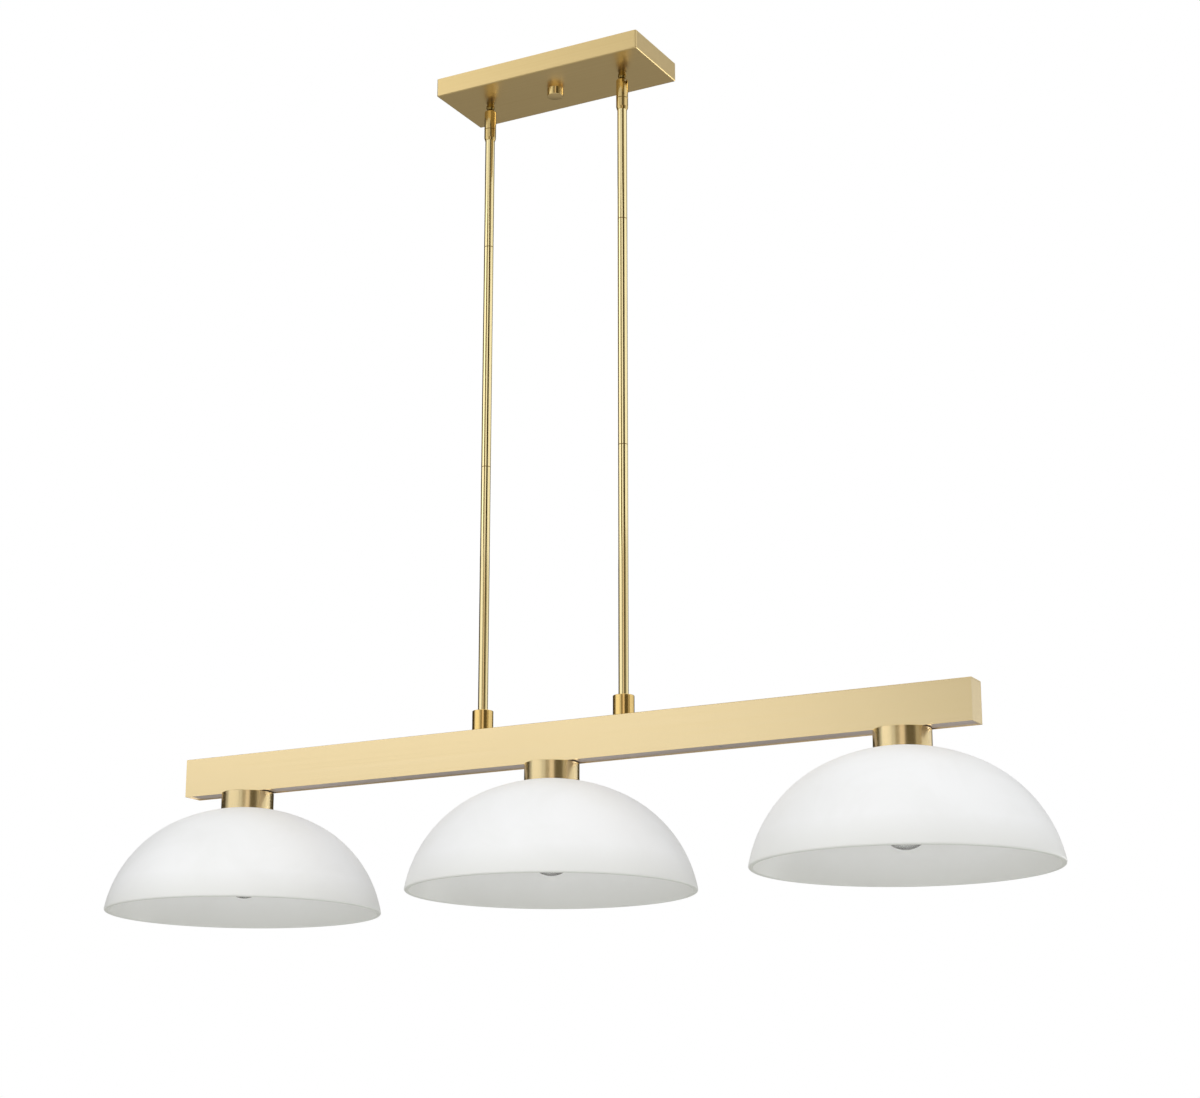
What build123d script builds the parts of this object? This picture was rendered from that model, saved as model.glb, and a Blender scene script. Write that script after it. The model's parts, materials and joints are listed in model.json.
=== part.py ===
from build123d import *
import os
from math import acos, cos, degrees, radians, sin, sqrt, tan

# Billiard light: a canopy box, two hang-straight stems, a box-section bar and three glass domes.
# Millimetres. The origin is the middle of the ceiling plane, +X runs along the bar, +Z points up.

# Fits
thread_clearance = 0.1
sheet_clearance = 0.2
ball_clearance = 0.1
turning_gap = 0.3
thread_chamfer = 0.6

# Canopy and its ceiling strap
canopy_length = 304.8
canopy_width = 114.3
canopy_height = 25.4
canopy_wall = 1.2
canopy_corner = 2.5
canopy_edge = 1.8
strap_length = 108.0
strap_width = 19.0
strap_thickness = 2.0
box_screw_spacing = 88.9
box_slot_length = 14.0
box_slot_width = 4.8
centre_stud_radius = 3.175
centre_stud_nut_flats = 11.0
centre_stud_nut_thickness = 5.0
ground_screw_offset = 22.0
ground_screw_radius = 2.0
ground_head_radius = 4.4
ground_head_height = 2.6
knob_radius = 10.7
knob_height = 10.8
knob_edge = 0.6
knob_thread_depth = 8.0

# Hang-straight swivels
rod_spacing = 203.2
stud_thread_radius = 4.0
stud_nut_flats = 14.0
stud_nut_thickness = 4.0
stud_thread_spare = 2.0
stud_bore = 2.1
hub_radius = 4.7
hub_height = 3.0
collet_radius = 5.6
collet_height = 5.0
collet_taper_height = 2.4
collet_foot_radius = 4.6
collet_to_ball = 8.5
neck_radius = 3.2
ball_radius = 6.0
barrel_radius = 7.9
barrel_rise = 6.0
barrel_reach = 21.0
barrel_round = 1.9
mouth_radius = 4.7
mouth_flare = 1.2
slot_clearance = 1.0
slot_drop = 2.5
slot_heading = -30.0
swivel_collar_length = 15.9
swivel_collar_taper = 3.5
swivel_collar_lip = 0.4
swivel_spigot_length = 8.0
swivel_wire_bore = 4.0

# Stems
rod_radius = 6.35
rod_wall = 1.2
rod_seat_depth = 8.0
upper_rod_length = 155.0
middle_rod_length = 308.0
lower_rod_length = 324.5
seam_chamfer = 0.4
nipple_length = 24.0
nipple_bore = 3.4

# Bar
bar_overhang = 92.0
bar_depth = 31.75
bar_height = 50.8
bar_wall = 1.5
bar_bend = 1.0
bar_collar_radius = 13.4
bar_collar_height = 25.8
bar_collar_edge = 0.8
bar_collar_seat = 12.0
lock_nut_flats = 17.5
lock_nut_thickness = 4.0
lock_nut_spare = 3.0
end_cap_thickness = 1.5
end_cap_flange = 8.0
end_cap_flange_height = 24.0
cover_thickness = 1.5
cover_recess = 1.0
bracket_length = 24.0
bracket_thickness = 2.0
bracket_ear_height = 12.0
cover_screw_radius = 2.0
cover_screw_head = 3.4
cover_screw_length = 7.0

# Lamp heads
shade_spacing = 467.0
cup_radius = 34.5
cup_height = 24.0
cup_wall = 1.2
cup_edge = 0.6
shade_radius = 181.0
shade_height = 135.0
glass_wall = 6.5
glass_lip = 2.0
crown_radius = 213.5
crown_angle = 26.3
glass_seat_radius = 37.0
glass_hole_radius = 21.0
holder_hub_radius = 8.0
holder_hub_height = 9.0
holder_body_radius = 18.0
holder_shoulder = 5.0
holder_skirt_radius = 19.2
holder_skirt_top = 3.0
holder_length = 57.0
nipple_grip = 8.0
shell_wall = 0.5
shell_length = 29.0
shell_contact_hole = 6.0
contact_radius = 3.0
contact_height = 3.5
ring_flange_radius = 29.0
ring_flange_thickness = 2.5
ring_grip_radius = 24.0
ring_grip_height = 6.5

# Lamp bulbs
bulb_length = 107.0
bulb_radius = 30.0
bulb_wall = 0.8
bulb_taper_angle = 32.0
bulb_neck_radius = 12.4
bulb_neck_blend = 22.0
base_radius = 13.0
base_wall = 0.5
base_length = 26.0
base_socket_depth = 8.0
base_tip_radius = 4.8
base_tip_height = 1.6
base_cone_height = 4.0
stem_radius = 2.2
stem_foot_radius = 10.5
stem_foot_height = 3.0
cage_radius = 8.0
cage_disc_thickness = 0.8
cage_disc_margin = 0.6
filament_count = 4
filament_radius = 0.9
filament_length = 36.0
cage_tip_clearance = 19.0

# Wiring held inside the stem and the bar
cable_radius = 2.0
cable_bend = 12.0

# Heights, worked down from the ceiling
canopy_floor_z = -canopy_height
ball_z = canopy_floor_z - hub_height - collet_height - collet_to_ball
barrel_top_z = ball_z + barrel_rise
barrel_seam_z = ball_z - barrel_reach
swivel_bottom_z = barrel_seam_z - swivel_collar_length
upper_seam_z = swivel_bottom_z - upper_rod_length
lower_seam_z = upper_seam_z - middle_rod_length
collar_top_z = lower_seam_z - lower_rod_length
bar_top_z = collar_top_z - bar_collar_height
bar_ceiling_z = bar_top_z - bar_wall
bar_bottom_z = bar_top_z - bar_height
cover_top_z = bar_bottom_z + cover_recess + cover_thickness
cup_ceiling_z = bar_bottom_z - cup_wall
glass_top_z = bar_bottom_z - cup_height
rim_z = glass_top_z - shade_height
holder_bottom_z = cup_ceiling_z - holder_length
shell_top_z = holder_bottom_z + shell_length + shell_wall
bulb_top_z = shell_top_z - contact_height - turning_gap
bulb_tip_z = bulb_top_z - bulb_length
bulb_collar_z = bulb_top_z - base_length

# Widths that follow from the sizes above
rod_bore = rod_radius - rod_wall
nipple_radius = rod_bore - thread_clearance
nipple_hole = rod_bore + thread_clearance
bar_length = 2 * (shade_spacing + bar_overhang)
bar_inside = bar_depth - 2 * bar_wall
shell_inside = base_radius + turning_gap
shell_outside = shell_inside + shell_wall
holder_bore = shell_outside + thread_clearance
stem_sides = {"left": -rod_spacing / 2, "right": rod_spacing / 2}
slot_headings = {"left": slot_heading + 180.0, "right": slot_heading}
lamp_places = {"left": -shade_spacing, "middle": 0.0, "right": shade_spacing}

os.makedirs("parts", exist_ok=True)


def save(part, name, x=0.0):
    """Writes one finished piece, moved along the bar to x, under its own name."""
    piece = part.moved(Location((x, 0, 0)))
    piece.label = name
    export_step(piece, f"parts/{name}.step")


def section(*points):
    """Returns a closed outline of (radius, height) points, to be turned about the Z axis."""
    with BuildSketch(Plane.XZ) as outline:
        with BuildLine():
            Polyline(*points, close=True)
        make_face()
    return outline.sketch


# Canopy: a shallow pressed box, open towards the ceiling.
with BuildPart() as canopy_pan:
    with BuildSketch():
        RectangleRounded(canopy_length, canopy_width, canopy_corner)
    extrude(amount=-canopy_height)
    fillet(canopy_pan.edges().group_by(Axis.Z)[0], canopy_edge)
    with BuildSketch():
        RectangleRounded(
            canopy_length - 2 * canopy_wall,
            canopy_width - 2 * canopy_wall,
            canopy_corner - canopy_wall,
        )
    extrude(amount=canopy_wall - canopy_height, mode=Mode.SUBTRACT)
    Hole(centre_stud_radius + sheet_clearance)
    with GridLocations(rod_spacing, 0, 2, 1):
        Hole(stud_thread_radius + thread_clearance)
save(canopy_pan.part, "canopy_pan")

# Ceiling strap: slotted for the outlet box's two screws, tapped for the stud and the earth screw.
with BuildPart() as mounting_strap:
    with BuildSketch():
        SlotOverall(strap_length, strap_width)
        Circle(centre_stud_radius + thread_clearance, mode=Mode.SUBTRACT)
        with GridLocations(box_screw_spacing, 0, 2, 1):
            SlotOverall(box_slot_length, box_slot_width, mode=Mode.SUBTRACT)
        with Locations((ground_screw_offset, 0)):
            Circle(ground_screw_radius + thread_clearance, mode=Mode.SUBTRACT)
    extrude(amount=-strap_thickness)
save(mounting_strap.part, "mounting_strap")

with BuildPart() as centre_stud:
    with BuildSketch():
        Circle(centre_stud_radius)
    extrude(amount=canopy_floor_z - knob_thread_depth)
    chamfer(centre_stud.edges().group_by(Axis.Z)[0], thread_chamfer)
save(centre_stud.part, "centre_stud")

with BuildPart() as stud_lock_nut:
    with BuildSketch(Plane.XY.offset(-strap_thickness)):
        RegularPolygon(centre_stud_nut_flats / 2, 6, major_radius=False)
        Circle(centre_stud_radius + thread_clearance, mode=Mode.SUBTRACT)
    extrude(amount=-centre_stud_nut_thickness)
save(stud_lock_nut.part, "stud_lock_nut")

with BuildPart() as ground_screw:
    with BuildSketch():
        with Locations((ground_screw_offset, 0)):
            Circle(ground_screw_radius)
    extrude(amount=-strap_thickness)
    with BuildSketch(Plane.XY.offset(-strap_thickness)):
        with Locations((ground_screw_offset, 0)):
            Circle(ground_head_radius)
    extrude(amount=-ground_head_height)
    chamfer(ground_screw.edges().group_by(Axis.Z)[0], thread_chamfer)
save(ground_screw.part, "ground_screw")

# Knob: screws up the centre stud and clamps the canopy to the ceiling.
with BuildPart() as canopy_knob:
    with BuildSketch(Plane.XY.offset(canopy_floor_z - thread_clearance)):
        Circle(knob_radius)
    extrude(amount=-knob_height)
    fillet(canopy_knob.edges().group_by(Axis.Z)[0], knob_edge)
    with BuildSketch(Plane.XY.offset(canopy_floor_z - thread_clearance)):
        Circle(centre_stud_radius + thread_clearance)
    extrude(amount=-knob_thread_depth, mode=Mode.SUBTRACT)
save(canopy_knob.part, "canopy_knob")

# Swivel stud: thread and nut in the canopy floor, a hub and a tapered ring, then a neck and a ball.
stud_top_z = canopy_floor_z + canopy_wall + stud_nut_thickness + stud_thread_spare
hub_bottom_z = canopy_floor_z - hub_height
collet_bottom_z = hub_bottom_z - collet_height
neck_end_z = ball_z + sqrt(ball_radius**2 - neck_radius**2)
ball_end_z = ball_z - sqrt(ball_radius**2 - stud_bore**2)
with BuildPart() as swivel_stud:
    with BuildSketch(Plane.XZ):
        with BuildLine():
            Polyline(
                (stud_bore, ball_end_z),
                (stud_bore, stud_top_z),
                (stud_thread_radius, stud_top_z),
                (stud_thread_radius, canopy_floor_z),
                (hub_radius, canopy_floor_z),
                (hub_radius, hub_bottom_z),
                (collet_radius, hub_bottom_z),
                (collet_radius, collet_bottom_z + collet_taper_height),
                (collet_foot_radius, collet_bottom_z),
                (neck_radius, collet_bottom_z),
                (neck_radius, neck_end_z),
            )
            ThreePointArc((neck_radius, neck_end_z), (ball_radius, ball_z), (stud_bore, ball_end_z))
        make_face()
    revolve(axis=Axis.Z)

# Swivel barrel: hangs on the ball by its rounded lip, with a slot where the neck can lean out.
seat_radius = ball_radius + ball_clearance
lip_angle = degrees(acos(mouth_radius / seat_radius))
flare_radius = mouth_radius + mouth_flare
shoulder_radius = barrel_radius - barrel_round
shoulder_z = barrel_top_z - barrel_round
slot_radius = neck_radius + slot_clearance
with BuildPart() as swivel_barrel:
    with BuildSketch(Plane.XZ):
        with BuildLine():
            seat = CenterArc((0, ball_z), seat_radius, 0, lip_angle)
            shoulder = CenterArc((shoulder_radius, shoulder_z), barrel_round, 0, 90)
            Polyline(seat @ 1, (flare_radius, barrel_top_z), shoulder @ 1)
            Polyline(
                shoulder @ 0,
                (barrel_radius, barrel_seam_z + seam_chamfer),
                (barrel_radius - seam_chamfer, barrel_seam_z),
                (seat_radius, barrel_seam_z),
                seat @ 0,
            )
        make_face()
    revolve(axis=Axis.Z)
    with BuildSketch(Plane.YZ):
        with Locations((0, ball_z - slot_drop + slot_radius)):
            Circle(slot_radius)
            Rectangle(2 * slot_radius, 2 * barrel_rise, align=(Align.CENTER, Align.MIN))
    extrude(amount=2 * barrel_radius, mode=Mode.SUBTRACT)

# Swivel collar: closes the barrel from below and takes the top of the upper rod.
spigot_top_z = barrel_seam_z + swivel_spigot_length
spigot_radius = seat_radius - thread_clearance
rod_hole = rod_radius + thread_clearance
rod_top_z = swivel_bottom_z + rod_seat_depth
with BuildPart() as swivel_collar:
    revolve(
        section(
            (swivel_wire_bore, spigot_top_z),
            (spigot_radius, spigot_top_z),
            (spigot_radius, barrel_seam_z),
            (barrel_radius - seam_chamfer, barrel_seam_z),
            (barrel_radius, barrel_seam_z - seam_chamfer),
            (barrel_radius, swivel_bottom_z + swivel_collar_taper),
            (rod_hole + swivel_collar_lip, swivel_bottom_z),
            (rod_hole, swivel_bottom_z),
            (rod_hole, rod_top_z),
            (swivel_wire_bore, rod_top_z),
        ),
        axis=Axis.Z,
    )

# Bar collar: stands on the bar and takes the foot of the lower rod.
with BuildPart() as bar_collar:
    with BuildSketch(Plane.XY.offset(bar_top_z)):
        Circle(bar_collar_radius)
    extrude(amount=bar_collar_height)
    fillet(bar_collar.edges().group_by(Axis.Z)[-1], bar_collar_edge)
    with Locations((0, 0, collar_top_z)):
        CounterBoreHole(nipple_hole, rod_hole, bar_collar_seat)

for side, x in stem_sides.items():
    save(swivel_stud.part, f"swivel_stud_{side}", x)
    save(swivel_barrel.part.rotate(Axis.Z, slot_headings[side]), f"swivel_barrel_{side}", x)
    save(swivel_collar.part, f"swivel_collar_{side}", x)
    save(bar_collar.part, f"bar_collar_{side}", x)

with BuildPart() as swivel_nuts:
    with BuildSketch(Plane.XY.offset(canopy_floor_z + canopy_wall)):
        with GridLocations(rod_spacing, 0, 2, 1):
            RegularPolygon(stud_nut_flats / 2, 6, major_radius=False)
            Circle(stud_thread_radius + thread_clearance, mode=Mode.SUBTRACT)
    extrude(amount=stud_nut_thickness)
save(swivel_nuts.part, "swivel_nuts")

# Rods: three tubes to a stem, screwed together on hidden nipples, with a fine seam at each joint.
rod_foot_z = collar_top_z - bar_collar_seat
rod_spans = {
    "upper": (upper_seam_z, rod_top_z),
    "middle": (lower_seam_z, upper_seam_z),
    "lower": (rod_foot_z, lower_seam_z),
}
for length_name, (bottom_z, top_z) in rod_spans.items():
    with BuildPart() as rod:
        with BuildSketch(Plane.XY.offset(bottom_z)):
            Circle(rod_radius)
            Circle(rod_bore, mode=Mode.SUBTRACT)
        extrude(amount=top_z - bottom_z)
        outer_rims = rod.edges().filter_by(GeomType.CIRCLE).group_by(SortBy.RADIUS)[-1]
        chamfer(outer_rims, seam_chamfer)
    for side, x in stem_sides.items():
        save(rod.part, f"rod_{length_name}_{side}", x)

with BuildPart() as rod_nipples:
    for seam_z in (upper_seam_z, lower_seam_z):
        with BuildSketch(Plane.XY.offset(seam_z)):
            with GridLocations(rod_spacing, 0, 2, 1):
                Circle(nipple_radius)
                Circle(nipple_bore, mode=Mode.SUBTRACT)
        extrude(amount=nipple_length / 2, both=True)
save(rod_nipples.part, "rod_nipples")

bar_nipple_bottom_z = bar_ceiling_z - lock_nut_thickness - lock_nut_spare
with BuildPart() as bar_nipples:
    with BuildSketch(Plane.XY.offset(bar_nipple_bottom_z)):
        with GridLocations(rod_spacing, 0, 2, 1):
            Circle(nipple_radius)
            Circle(nipple_bore, mode=Mode.SUBTRACT)
    extrude(amount=rod_foot_z + nipple_length / 2 - bar_nipple_bottom_z)
save(bar_nipples.part, "bar_nipples")

with BuildPart() as bar_lock_nuts:
    with BuildSketch(Plane.XY.offset(bar_ceiling_z)):
        with GridLocations(rod_spacing, 0, 2, 1):
            RegularPolygon(lock_nut_flats / 2, 6, major_radius=False)
            Circle(nipple_hole, mode=Mode.SUBTRACT)
    extrude(amount=-lock_nut_thickness)
save(bar_lock_nuts.part, "bar_lock_nuts")

# Bar: a folded channel, open below, with a cap in each end and a recessed cover underneath.
with BuildPart() as bar_channel:
    with BuildSketch(Plane.YZ.offset(-bar_length / 2)) as channel_section:
        with Locations((0, bar_top_z)):
            Rectangle(bar_depth, bar_height, align=(Align.CENTER, Align.MAX))
        fillet(channel_section.vertices().group_by(Axis.Y)[-1], bar_bend)
        with Locations((0, bar_ceiling_z)):
            Rectangle(bar_inside, bar_height, align=(Align.CENTER, Align.MAX), mode=Mode.SUBTRACT)
    extrude(amount=bar_length)
    with Locations((0, 0, bar_top_z)):
        with GridLocations(rod_spacing, 0, 2, 1):
            Hole(nipple_hole, depth=2 * bar_wall)
save(bar_channel.part, "bar_channel")

cap_width = bar_inside - 2 * sheet_clearance
cap_top_z = bar_ceiling_z - sheet_clearance
cap_height = cap_top_z - bar_bottom_z
with BuildPart() as bar_end_cap:
    with BuildSketch(Plane.YZ.offset(bar_length / 2)):
        with Locations((0, cap_top_z)):
            Rectangle(cap_width, cap_height, align=(Align.CENTER, Align.MAX))
    extrude(amount=-end_cap_thickness)
    with BuildSketch(Plane.YZ.offset(bar_length / 2 - end_cap_thickness)):
        with Locations((0, cap_top_z)):
            Rectangle(cap_width, end_cap_flange_height, align=(Align.CENTER, Align.MAX))
        with Locations((0, cap_top_z - end_cap_thickness)):
            Rectangle(
                cap_width - 2 * end_cap_thickness,
                end_cap_flange_height,
                align=(Align.CENTER, Align.MAX),
                mode=Mode.SUBTRACT,
            )
    extrude(amount=-end_cap_flange)
save(bar_end_cap.part, "bar_end_cap_right")
save(bar_end_cap.part.rotate(Axis.Z, 180), "bar_end_cap_left")

cover_length = bar_length - 2 * end_cap_thickness - 2 * sheet_clearance
with BuildPart() as bar_cover:
    with BuildSketch(Plane.XY.offset(cover_top_z)):
        Rectangle(cover_length, bar_inside - 2 * sheet_clearance)
        with GridLocations(shade_spacing, 0, 3, 1):
            Circle(nipple_hole, mode=Mode.SUBTRACT)
    extrude(amount=-cover_thickness)
    with Locations(Plane(origin=(0, 0, cover_top_z - cover_thickness), z_dir=(0, 0, -1))):
        with GridLocations(shade_spacing, 0, 2, 1):
            CounterSinkHole(
                cover_screw_radius + thread_clearance,
                cover_screw_head + thread_clearance,
                cover_thickness,
                counter_sink_angle=90,
            )
save(bar_cover.part, "bar_cover")

# Brackets: bridges fixed between the channel's walls, which the cover is screwed up against.
with BuildPart() as cover_brackets:
    with BuildSketch(Plane.XY.offset(cover_top_z)):
        with GridLocations(shade_spacing, 0, 2, 1):
            Rectangle(bracket_length, bar_inside)
    extrude(amount=bracket_ear_height)
    with BuildSketch(Plane.XY.offset(cover_top_z + bracket_thickness)):
        with GridLocations(shade_spacing, 0, 2, 1):
            Rectangle(bracket_length, bar_inside - 2 * bracket_thickness)
    extrude(amount=bracket_ear_height, mode=Mode.SUBTRACT)
    with Locations((0, 0, cover_top_z + bracket_thickness)):
        with GridLocations(shade_spacing, 0, 2, 1):
            Hole(cover_screw_radius + thread_clearance)
save(cover_brackets.part, "cover_brackets")

screw_head_z = cover_top_z - cover_thickness
head_taper = cover_screw_head - cover_screw_radius
with BuildPart() as cover_screw:
    revolve(
        section(
            (0, screw_head_z),
            (cover_screw_head, screw_head_z),
            (cover_screw_radius, screw_head_z + head_taper),
            (cover_screw_radius, screw_head_z + cover_screw_length),
            (0, screw_head_z + cover_screw_length),
        ),
        axis=Axis.Z,
    )
with BuildPart() as cover_screws:
    with GridLocations(shade_spacing, 0, 2, 1):
        add(cover_screw.part)
save(cover_screws.part, "cover_screws")

# Cup: a spun cylinder, closed above, that hides the lampholder and seats on the glass.
with BuildPart() as socket_cup:
    with BuildSketch(Plane.XY.offset(bar_bottom_z)):
        Circle(cup_radius)
    extrude(amount=-cup_height)
    fillet(socket_cup.edges().group_by(Axis.Z)[-1], cup_edge)
    with BuildSketch(Plane.XY.offset(cup_ceiling_z)):
        Circle(cup_radius - cup_wall)
    extrude(amount=-cup_height, mode=Mode.SUBTRACT)
    with Locations((0, 0, bar_bottom_z)):
        Hole(nipple_hole)

# Glass dome: a crown and a tighter side, with a ground seat round the hole and a rounded lip.
crown_z = glass_top_z - sqrt(crown_radius**2 - glass_seat_radius**2)
inner_seat_z = glass_top_z - glass_wall
inner_seat_radius = sqrt((crown_radius - glass_wall) ** 2 - (inner_seat_z - crown_z) ** 2)


def dome_line(seat_radius, seat_z, inset):
    """Draws one face of the dome, from its flat seat down to the rim, inset from the outside."""
    radius = crown_radius - inset
    shoulder = (radius * sin(radians(crown_angle)), crown_z + radius * cos(radians(crown_angle)))
    downhill = (cos(radians(crown_angle)), -sin(radians(crown_angle)))
    with BuildLine() as line:
        RadiusArc((seat_radius, seat_z), shoulder, radius)
        TangentArc(shoulder, (shade_radius - inset, rim_z), tangent=downhill)
    return line.line


with BuildPart() as glass_shade:
    with BuildSketch(Plane.XZ) as glass_section:
        with BuildLine():
            add(dome_line(glass_seat_radius, glass_top_z, 0))
            add(dome_line(inner_seat_radius, inner_seat_z, glass_wall))
            Line((shade_radius, rim_z), (shade_radius - glass_wall, rim_z))
            Polyline(
                (glass_seat_radius, glass_top_z),
                (glass_hole_radius, glass_top_z),
                (glass_hole_radius, inner_seat_z),
                (inner_seat_radius, inner_seat_z),
            )
        make_face()
        fillet(glass_section.vertices().group_by(Axis.Y)[0], glass_lip)
    revolve(axis=Axis.Z)

# Lampholder: a hub on the nipple, a shoulder, and a threaded skirt that passes through the glass.
hub_end_z = cup_ceiling_z - holder_hub_height
shoulder_end_z = hub_end_z - holder_shoulder
skirt_top_z = glass_top_z + holder_skirt_top
with BuildPart() as lampholder:
    revolve(
        section(
            (0, shell_top_z),
            (holder_bore, shell_top_z),
            (holder_bore, holder_bottom_z),
            (holder_skirt_radius, holder_bottom_z),
            (holder_skirt_radius, skirt_top_z),
            (holder_body_radius, skirt_top_z),
            (holder_body_radius, shoulder_end_z),
            (holder_hub_radius, hub_end_z),
            (holder_hub_radius, cup_ceiling_z),
            (nipple_hole, cup_ceiling_z),
            (nipple_hole, hub_end_z),
            (0, hub_end_z),
        ),
        axis=Axis.Z,
    )

shell_bottom_z = shell_top_z - shell_length
with BuildPart() as screw_shell:
    revolve(
        section(
            (shell_outside, shell_bottom_z),
            (shell_outside, shell_top_z),
            (shell_contact_hole, shell_top_z),
            (shell_contact_hole, shell_top_z - shell_wall),
            (shell_inside, shell_top_z - shell_wall),
            (shell_inside, shell_bottom_z),
        ),
        axis=Axis.Z,
    )

with BuildPart() as centre_contacts:
    with BuildSketch(Plane.XY.offset(shell_top_z)):
        with GridLocations(shade_spacing, 0, 3, 1):
            Circle(contact_radius)
    extrude(amount=-contact_height)
save(centre_contacts.part, "centre_contacts")

# Shade ring: screws up the skirt and clamps the glass against the cup.
with BuildPart() as shade_ring:
    with BuildSketch(Plane.XY.offset(inner_seat_z)):
        Circle(ring_flange_radius)
    extrude(amount=-ring_flange_thickness)
    with BuildSketch(Plane.XY.offset(inner_seat_z - ring_flange_thickness)):
        Circle(ring_grip_radius)
    extrude(amount=-ring_grip_height)
    with Locations((0, 0, inner_seat_z)):
        Hole(holder_skirt_radius + thread_clearance)

# Bulb: a clear pear-shaped envelope in a screw base, with straight filaments round a glass stem.
globe_z = bulb_tip_z + bulb_radius
base_socket_z = bulb_collar_z + base_socket_depth
with BuildPart() as bulb_glass:
    for inset, mode in ((0, Mode.ADD), (bulb_wall, Mode.SUBTRACT)):
        globe_radius = bulb_radius - inset
        neck = bulb_neck_radius - inset
        waist = globe_radius * cos(radians(bulb_taper_angle))
        waist_z = globe_z + globe_radius * sin(radians(bulb_taper_angle))
        neck_z = waist_z + (waist - neck) / tan(radians(bulb_taper_angle))
        with BuildSketch(Plane.XZ) as pear:
            with BuildLine():
                CenterArc((0, globe_z), globe_radius, -90, 90 + bulb_taper_angle)
                Polyline((waist, waist_z), (neck, neck_z), (neck, base_socket_z), (0, base_socket_z))
                Line((0, base_socket_z), (0, globe_z - globe_radius))
            make_face()
            fillet(pear.vertices().sort_by(Axis.Y)[2], bulb_neck_blend)
        revolve(axis=Axis.Z, mode=mode)

base_cone_z = bulb_top_z - base_tip_height - base_cone_height
with BuildPart() as bulb_base:
    revolve(
        section(
            (0, base_socket_z),
            (base_radius - base_wall, base_socket_z),
            (base_radius - base_wall, bulb_collar_z),
            (base_radius, bulb_collar_z),
            (base_radius, base_cone_z),
            (base_tip_radius, bulb_top_z - base_tip_height),
            (base_tip_radius, bulb_top_z),
            (0, bulb_top_z),
        ),
        axis=Axis.Z,
    )

stem_tip_z = bulb_tip_z + cage_tip_clearance
cage_bottom_z = stem_tip_z + cage_disc_thickness
cage_top_z = cage_bottom_z + filament_length
with BuildPart() as bulb_filament:
    with BuildSketch(Plane.XY.offset(stem_tip_z)):
        Circle(stem_radius)
    extrude(amount=base_socket_z - stem_tip_z)
    with BuildSketch(Plane.XY.offset(base_socket_z)):
        Circle(stem_foot_radius)
    extrude(amount=-stem_foot_height)
    for disc_z in (stem_tip_z, cage_top_z):
        with BuildSketch(Plane.XY.offset(disc_z)):
            Circle(cage_radius + filament_radius + cage_disc_margin)
        extrude(amount=cage_disc_thickness)
    with BuildSketch(Plane.XY.offset(cage_bottom_z)):
        with PolarLocations(cage_radius, filament_count):
            Circle(filament_radius)
    extrude(amount=filament_length)

for place, x in lamp_places.items():
    save(socket_cup.part, f"socket_cup_{place}", x)
    save(glass_shade.part, f"glass_shade_{place}", x)
    save(lampholder.part, f"lampholder_{place}", x)
    save(screw_shell.part, f"screw_shell_{place}", x)
    save(shade_ring.part, f"shade_ring_{place}", x)
    save(bulb_glass.part, f"bulb_glass_{place}", x)
    save(bulb_base.part, f"bulb_base_{place}", x)
    save(bulb_filament.part, f"bulb_filament_{place}", x)

cup_nipple_bottom_z = cup_ceiling_z - nipple_grip
cup_nipple_top_z = cover_top_z + lock_nut_thickness + lock_nut_spare
with BuildPart() as cup_nipples:
    with BuildSketch(Plane.XY.offset(cup_nipple_bottom_z)):
        with GridLocations(shade_spacing, 0, 3, 1):
            Circle(nipple_radius)
            Circle(nipple_bore, mode=Mode.SUBTRACT)
    extrude(amount=cup_nipple_top_z - cup_nipple_bottom_z)
save(cup_nipples.part, "cup_nipples")

with BuildPart() as cup_nuts:
    with BuildSketch(Plane.XY.offset(cover_top_z)):
        with GridLocations(shade_spacing, 0, 3, 1):
            RegularPolygon(lock_nut_flats / 2, 6, major_radius=False)
            Circle(nipple_hole, mode=Mode.SUBTRACT)
    extrude(amount=lock_nut_thickness)
save(cup_nuts.part, "cup_nuts")

# Wiring: one cable down the left stem, a harness along the bar and a drop to the middle lamp.
harness_z = (bar_ceiling_z + cover_top_z) / 2
with BuildPart() as lamp_harness:
    with BuildLine(Plane.XZ) as harness_route:
        FilletPolyline(
            (-shade_spacing, hub_end_z),
            (-shade_spacing, harness_z),
            (shade_spacing, harness_z),
            (shade_spacing, hub_end_z),
            radius=cable_bend,
        )
    with BuildSketch(Plane.XY.offset(hub_end_z)):
        with Locations((-shade_spacing, 0)):
            Circle(cable_radius)
    sweep()
    with BuildSketch(Plane.XY.offset(hub_end_z)):
        Circle(cable_radius)
    extrude(amount=harness_z - hub_end_z)
save(lamp_harness.part, "lamp_harness")

cable_top_z = ball_z - ball_radius - turning_gap
with BuildPart() as stem_cable:
    with BuildSketch(Plane.XY.offset(harness_z + cable_radius + turning_gap)):
        Circle(cable_radius)
    extrude(amount=cable_top_z - harness_z - cable_radius - turning_gap)
save(stem_cable.part, "stem_cable", stem_sides["left"])
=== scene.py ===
import json
import logging
import math
from dataclasses import dataclass
from enum import Enum
from typing import Callable, Mapping, NamedTuple, Optional, Sequence, Union

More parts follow.
